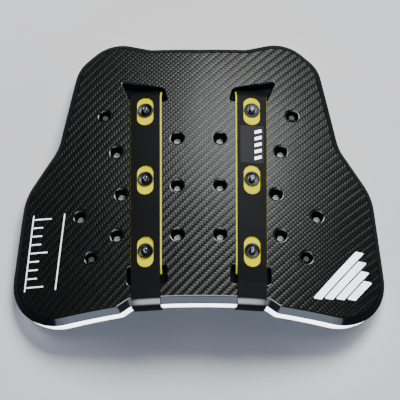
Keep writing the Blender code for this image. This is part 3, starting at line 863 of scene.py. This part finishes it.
def strap_course():
    """Side view of a strap: out of the pocket, over the trough, round the edge and back under."""
    hem = BOTTOM_EDGE - FOAM_FLARE - 0.0010 - STRAP_THICKNESS / 2
    tail = FOAM_BOTTOM - GAP - STRAP_THICKNESS / 2
    return rounded_path(dive_corners(STRAP_LEVEL) + [
        (Vector((TROUGH_TOP, STRAP_LEVEL)), 0.010),
        (Vector((TROUGH_END + 0.0020, STRAP_FLUSH)), 0.010),
        (Vector((hem + WRAP_FACET, STRAP_FLUSH)), 0.0040),
        (Vector((hem, STRAP_FLUSH - WRAP_DROP)), 0.0020),
        (Vector((hem, tail)), 0.0025),
        (Vector((hem + 0.040, tail)), 0)])


def backing_course():
    """Side view of a backing: from beside the strap in the pocket to its end in the trough."""
    bend = Vector((TROUGH_TOP - 0.0020, BACKING_LEVEL))
    return rounded_path(dive_corners(BACKING_LEVEL) + [(bend, 0.005), (bend + Vector((-0.0060, -0.0042)), 0)])


def dive_corners(level):
    """Where a strip at the given level bends down into the pocket and ends there."""
    slope = math.atan2(0.0060, 0.0072)
    bend = Vector((POCKET_MOUTH + 0.0052 - (STRAP_LEVEL - level) * math.tan(slope / 2), level))
    return [(bend + Vector((0.0072, -0.0060)), 0), (bend, 0.005)]


def stations(course):
    """Place of each course point on the strip laid out straight, where its level run keeps its Y."""
    lengths = [0.0]
    for a, b in zip(course, course[1:]):
        lengths.append(lengths[-1] + (b - a).length)
    run = max(range(len(course) - 1), key=lambda i: (course[i + 1] - course[i]).length)
    zero = course[run].x + lengths[run]
    return [zero - length for length in lengths]


def lead_along(points, course):
    """Bend a straight strip, whose middle height is zero, along its course."""
    places = np.array(stations(course))
    line = np.array([(p.x, p.y) for p in course])
    ahead = np.diff(line, axis=0)
    ahead /= np.linalg.norm(ahead, axis=1, keepdims=True)
    ahead = np.vstack((ahead[:1], ahead[:-1] + ahead[1:], ahead[-1:]))
    ahead /= np.linalg.norm(ahead, axis=1, keepdims=True)
    up = np.stack((ahead[:, 1], -ahead[:, 0]), 1)
    order = places[::-1]
    bent = points.copy()
    for column, axis in ((1, 0), (2, 1)):
        centre = np.interp(points[:, 1], order, line[::-1, axis])
        lift = np.interp(points[:, 1], order, up[::-1, axis])
        bent[:, column] = centre + lift * points[:, 2]
    return bent


def make_strip(name, x_from, x_to, thickness, course, edge_radius, end_radius, cutters):
    """A flat strip with rounded edges and its openings, led along its course and pressed."""
    places = stations(course)
    first, last = places[-1], places[0]
    corners = [(corner, radius) for corner, radius in
               zip(box_corners(x_from, x_to, first, last), (end_radius, end_radius, 0.0003, 0.0003))]
    strip = raised(name, rounded_loop(corners, math.radians(15)), wall(-thickness / 2, thickness / 2))
    bpy.ops.object.mode_set(mode='EDIT')
    select_parts(strip, 'EDGE',
                 lambda edge: abs(edge.verts[0].co.z - edge.verts[1].co.z) < thickness / 2)
    bpy.ops.mesh.bevel(offset=edge_radius, segments=3, affect='EDGES', clamp_overlap=True)
    bpy.ops.object.mode_set(mode='OBJECT')
    runs = []
    for a, b in zip(places, places[1:]):
        parts = math.ceil((a - b) / 0.006)
        runs += [a + (b - a) * i / parts for i in range(parts)]
    columns = [x_from + (x_to - x_from) * i / 5 for i in range(1, 5)]
    score(strip, columns, runs[1:])
    if cutters:
        combine(strip, 'DIFFERENCE', cutters)
    keep_layout(strip)
    set_points(strip, pressed(lead_along(points_of(strip), course)))
    return strip


class PROTECTOR_OT_straps(bpy.types.Operator):
    """Make the two straps with their windows and the yellow strips below them"""
    bl_idname = "protector.straps"
    bl_label = "Straps"

    def execute(self, context):
        look = context.scene.protector_straps
        # Thermoplastic urethane: dull black bands, and a yellow sheet below them
        black = part_polished("black_tpu_strap", look.strap_color, WRAP_GLOSS, 0)
        yellow = moulded("yellow_tpu_sheet", look.backing_color, 0.6, 0.02, 0.0010, 0.10)
        for word, side in SIDES:
            windows = []
            edge = look.edge_radius
            top = STRAP_THICKNESS / 2
            for y in STUD_ROWS.values():
                loop = slot_loop(side * STRAP_CENTRE, y + WINDOW_SHIFT, WINDOW_WIDTH + 2 * edge,
                                 WINDOW_LENGTH + 2 * edge)
                corners = [(Vector((0, top)), 0), (Vector((edge, top)), edge * 0.95),
                           (Vector((edge, -top - OVERLAP)), 0)]
                profile = wall(top + OVERLAP, top) + rounded_path(corners, math.radians(30))[1:]
                windows.append(raised("window", loop, profile))
            ends = sorted((side * (STRAP_CENTRE - STRAP_HALF), side * (STRAP_CENTRE + STRAP_HALF)))
            strap = make_strip("strap_band_" + word, *ends, STRAP_THICKNESS, strap_course(), edge,
                               0.004, windows)
            finish_piece(strap, [black], 40)
            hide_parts("strap_" + word)
            ends = sorted((side * (STRAP_CENTRE - STRAP_HALF - BACKING_INNER),
                           side * (STRAP_CENTRE + STRAP_HALF + BACKING_OUTER)))
            backing = make_strip("backing_strip_" + word, *ends, BACKING_THICKNESS, backing_course(),
                                 edge, 0.001, [])
            finish_piece(backing, [yellow], 40)
            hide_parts("strap_backing_" + word)
        return {'FINISHED'}


# Side view of a stud, from its outer edge to the crown: radius and height in metres
FLANGE_PROFILE = (
    (0.0062, 0.0), (0.0068, 0.0003), (0.0068, 0.0008), (0.0067, 0.0012), (0.0064, 0.00145),
    (0.0060, 0.0015), (0.0057, 0.00135), (0.0055, 0.0011), (0.0052, 0.0009), (0.0044, 0.00085),
    (0.0041, 0.0007), (0.0037, 0.0006), (0.0028, 0.0006), (0.0022, 0.0007),
)
HEAD_PROFILE = (
    (0.0022, 0.0007), (0.0020, 0.0010), (0.0020, 0.0016), (0.0023, 0.0021), (0.0027, 0.0025),
    (0.0029, 0.0030), (0.00285, 0.0035), (0.0026, 0.0040), (0.0022, 0.0043), (0.0018, 0.0045),
    (0.0014, 0.0046), (0.0011, 0.00455), (0.0009, 0.0044), (0.0005, 0.0043),
)


class PROTECTOR_OT_studs(bpy.types.Operator):
    """Turn one snap stud and set a copy in each strap window"""
    bl_idname = "protector.studs"
    bl_label = "Snap studs"

    def execute(self, context):
        look = context.scene.protector_studs
        profile = [(radius, 0, height) for radius, height in FLANGE_PROFILE + HEAD_PROFILE[1:]]
        deselect()
        bpy.ops.mesh.primitive_circle_add(vertices=len(profile), radius=0.01, fill_type='NOTHING')
        master = bpy.context.active_object
        master.name = "stud_master"
        for vert, point in zip(master.data.vertices, profile):
            vert.co = point
        bpy.ops.object.mode_set(mode='EDIT')
        bm = bmesh.from_edit_mesh(master.data)
        closing = [e for e in bm.edges if {v.index for v in e.verts} == {0, len(profile) - 1}]
        bmesh.ops.delete(bm, geom=closing, context='EDGES')
        bmesh.update_edit_mesh(master.data)
        bpy.ops.mesh.select_all(action='SELECT')
        bpy.ops.mesh.spin(steps=look.sides, angle=math.tau, center=(0, 0, 0), axis=(0, 0, 1))
        bpy.ops.mesh.select_all(action='SELECT')
        bpy.ops.mesh.remove_doubles(threshold=0.00001)
        bpy.ops.mesh.select_mode(type='EDGE')
        bpy.ops.mesh.select_all(action='DESELECT')
        bpy.ops.mesh.select_non_manifold()
        bpy.ops.mesh.edge_face_add()
        bpy.ops.mesh.select_all(action='SELECT')
        bpy.ops.mesh.normals_make_consistent(inside=False)
        bpy.ops.object.mode_set(mode='OBJECT')
        # Nickel plating, darker on the flange than on the head
        plating = [snap_metal("darker_nickel_flange", look.flange_color, 0.34),
                   snap_metal("lighter_nickel_head", look.head_color, 0.24)]
        neck = 0.0024
        base = BACKING_THICKNESS + 2 * GAP
        for word, side in SIDES:
            for row, y in STUD_ROWS.items():
                stud = master.copy()
                stud.data = master.data.copy()
                stud.name = "snap_" + word + "_" + row
                stud.data.name = stud.name
                context.scene.collection.objects.link(stud)
                seat = pressed(np.array([(side * STRAP_CENTRE, y, base), (side * STRAP_CENTRE, y, base + 1)]))
                axis = Vector(seat[1] - seat[0]).normalized()
                turn = Vector((0, 0, 1)).rotation_difference(axis).to_matrix().to_4x4()
                heads = [math.hypot(*face.center.xy) < neck or face.center.z > 0.0017
                         for face in stud.data.polygons]
                stud.data.transform(Matrix.Translation(seat[0]) @ turn)
                finish_piece(stud, plating, 50)
                paint(stud, heads)
                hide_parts("snap_stud_" + word + "_" + row)
        bpy.data.objects.remove(master, do_unlink=True)
        return {'FINISHED'}


# Printed markings: a film on the surface, four slanted bars, a tick gauge, and the strap's patch
PRINT_THICKNESS = 0.00006
PRINT_LIFT = 0.00003
BAR_REACHES = (0.060, 0.048, 0.036, 0.024)
BAR_WIDTH = 0.0074
BAR_START = Vector((0.0985, -0.1100))
BAR_STEP = Vector((0.0098, 0.0012))
BAR_COURSE = Vector((0.62, 0.785))
GAUGE_MIDDLE = Vector((-0.1330, -0.0640))
GAUGE_TILT = -7
TICKS = 9
TICK_SPACING = 0.0075
LONG_TICK, SHORT_TICK = 0.0150, 0.0085
PATCH = (0.0359, 0.0558, 0.0064, 0.0417)
STROKES = 5


def printed(corners, height, radius):
    """One thin printed shape from its corner points."""
    loop = rounded_loop([(Vector(corner), radius) for corner in corners], math.radians(15))
    return raised("print", loop, wall(height, height + PRINT_THICKNESS))


class PROTECTOR_OT_markings(bpy.types.Operator):
    """Print the plain gauge and corner bars on the shell and lay the patch on the right strap"""
    bl_idname = "protector.markings"
    bl_label = "Markings"

    def execute(self, context):
        look = context.scene.protector_markings
        # Screen ink on shell and patch, and the patch's thin rubber print
        ink = moulded("white_screen_ink", look.color, 0.5, 0.4, 0.0008, 0.05)
        bars = []
        for i, reach in enumerate(BAR_REACHES):
            start = BAR_START + BAR_STEP * i
            far = start + BAR_COURSE * reach
            wide = Vector((BAR_WIDTH, 0.0))
            bars.append(printed([start, start + wide, far + wide, far], PRINT_LIFT, 0.0008))

        boxes = []
        for i in range(TICKS):
            y = -0.0300 + i * TICK_SPACING
            boxes.append((-0.0130, -0.0130 + (SHORT_TICK if i % 4 else LONG_TICK), y, y + 0.0011))
        boxes += [(x, x + 0.0010, -0.0330, 0.0345) for x in (-0.0145, 0.0125)]
        tilt = Matrix.Rotation(math.radians(GAUGE_TILT), 2)
        ticks = [printed([GAUGE_MIDDLE + tilt @ corner for corner in box_corners(*box)], PRINT_LIFT,
                         0.0003) for box in boxes]

        top = STRAP_LEVEL + STRAP_THICKNESS / 2 + PRINT_LIFT
        patch = printed(box_corners(*PATCH), top, 0.0008)
        strokes = []
        for i in range(STROKES):
            y = 0.0090 + i * 0.0062
            corners = ((0.0480, y), (0.0540, y + 0.0020), (0.0540, y + 0.0050), (0.0480, y + 0.0030))
            strokes.append(printed(corners, top + 0.00009, 0.0004))
        grey = moulded("grey_rubber_print", look.patch_color, 0.6, 0.05, 0.0008, 0.2)
        for pieces, name, material, slot in ((bars, "corner_bars", ink, "shell"),
                                             (ticks, "fit_gauge", ink, "shell"),
                                             ([patch], "strap_patch", grey, "strap"),
                                             (strokes, "patch_chevrons", ink, "strap")):
            piece = joined(pieces, name)
            score_grid(piece, 0.004)
            press_down(piece)
            finish_piece(piece, [material], 30)
        return {'FINISHED'}


# Camera: elevation and roll in degrees, the point it looks at, the width it sees there in metres,
# and its sensor in millimetres
CAMERA_ELEVATION = 74.3
CAMERA_ROLL = -0.13
CAMERA_TARGET = (0.0011, -0.0217, 0.05316)
VIEW_WIDTH = 0.3458
SENSOR_WIDTH = 36.0


def aim(thing, target):
    """Turn a light or camera at its place towards a point, with its top kept upward."""
    thing.rotation_euler = (Vector(target) - thing.location).to_track_quat('-Z', 'Y').to_euler()


class PROTECTOR_OT_stage(bpy.types.Operator):
    """Set up the pale floor, the softboxes and the camera"""
    bl_idname = "protector.stage"
    bl_label = "Stage"

    def execute(self, context):
        look = context.scene.protector_studio
        deselect()
        bpy.ops.mesh.primitive_plane_add(size=8.0, location=(0, 0, 0))
        floor = context.active_object
        floor.name = "paper_floor"
        # Matt paper, pale and faintly cloudy, without any shine
        material, tree, shader = new_material("matt_paper")
        place = add_node(tree, 'ShaderNodeTexCoord')
        cloud = add_node(tree, 'ShaderNodeTexNoise', {"Vector": place.outputs["Object"], "Scale": 3.0})
        tint = add_node(tree, 'ShaderNodeMapRange', {"Value": cloud.outputs["Fac"], 3: 0.98, 4: 1.02})
        base = add_node(tree, 'ShaderNodeMix', {"Factor": 1.0, 6: linear(look.floor_color),
                        7: tint}, data_type='RGBA', blend_type='MULTIPLY')
        feed(tree, shader, {"Base Color": base.outputs[2], "Roughness": 0.9})
        floor.data.materials.append(material)

        pieces = bpy.data.collections.new("protector_pieces")
        for piece in context.scene.objects:
            if piece.type == 'MESH' and piece != floor:
                pieces.objects.link(piece)
        middle = Vector((0.0, 0.0, 0.04))
        foam = bpy.data.collections.new("protector_foam")
        foam.objects.link(bpy.data.objects["foam_sheet"])
        for name, place, size, power, color, lit in (
                ("key_softbox", (0.64, 1.82, 2.42), (1.7, 1.3), look.key_power, "#FFFFFF", None),
                ("front_softbox", (0.0, -0.78, 1.52), (1.2, 0.7), look.front_power, "#F4F8FF", pieces),
                ("front_card", (0.0, -1.92, 0.62), (3.0, 0.9), look.card_power, "#D8E6FF", None),
                ("foam_card", (0.0, -1.40, 0.50), (1.6, 0.5), look.foam_power, "#F4F8FF", foam)):
            bpy.ops.object.light_add(type='AREA', location=place)
            lamp = context.active_object
            lamp.name = name
            lamp.data.shape = 'RECTANGLE'
            lamp.data.size, lamp.data.size_y = size
            lamp.data.energy = power
            lamp.data.color = linear(color)[:3]
            lamp.visible_camera = False
            if lit:
                lamp.light_linking.receiver_collection = lit
            aim(lamp, middle)

        world = bpy.data.worlds.new("studio_air")
        world.use_nodes = True
        feed(world.node_tree, world.node_tree.nodes["Background"],
             {"Color": linear("#A8B4C8"), "Strength": 0.05})
        context.scene.world = world

        elevation = math.radians(CAMERA_ELEVATION)
        target = Vector(CAMERA_TARGET)
        to_camera = Vector((0, -math.cos(elevation), math.sin(elevation)))
        bpy.ops.object.camera_add(location=target + to_camera * look.distance)
        camera = context.active_object
        camera.name = "photo_camera"
        camera.data.lens = SENSOR_WIDTH * look.distance / VIEW_WIDTH
        camera.data.clip_end = 2 * look.distance
        aim(camera, target)
        camera.rotation_euler.rotate_axis('Z', math.radians(CAMERA_ROLL))
        context.scene.camera = camera
        return {'FINISHED'}


OPERATORS = (PROTECTOR_OT_shell, PROTECTOR_OT_foam, PROTECTOR_OT_straps, PROTECTOR_OT_studs,
             PROTECTOR_OT_markings, PROTECTOR_OT_stage)


class PROTECTOR_PT_panel(bpy.types.Panel):
    """Lists the protector's pieces and their settings"""
    bl_idname = "PROTECTOR_PT_panel"
    bl_label = "Chest protector"
    bl_space_type = 'VIEW_3D'
    bl_region_type = 'UI'
    bl_category = "Protector"

    def draw(self, context):
        for operator, key in zip(OPERATORS, GROUPS):
            box = self.layout.box()
            box.operator(operator.bl_idname)
            settings = getattr(context.scene, "protector_" + key)
            for name in settings.bl_rna.properties.keys():
                if name not in ("rna_type", "name"):
                    box.prop(settings, name)


def register():
    for cls in tuple(GROUPS.values()) + OPERATORS + (PROTECTOR_PT_panel,):
        bpy.utils.register_class(cls)
    for key, group in GROUPS.items():
        setattr(bpy.types.Scene, "protector_" + key, bpy.props.PointerProperty(type=group))


def unregister():
    for key in GROUPS:
        delattr(bpy.types.Scene, "protector_" + key)
    for cls in (PROTECTOR_PT_panel,) + OPERATORS[::-1] + tuple(GROUPS.values()):
        bpy.utils.unregister_class(cls)


def main():
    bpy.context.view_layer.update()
    register()
    bpy.ops.protector.shell()
    bpy.ops.protector.foam()
    bpy.ops.protector.straps()
    bpy.ops.protector.studs()
    bpy.ops.protector.markings()
    bpy.ops.protector.stage()


if __name__ == "__main__":
    main()
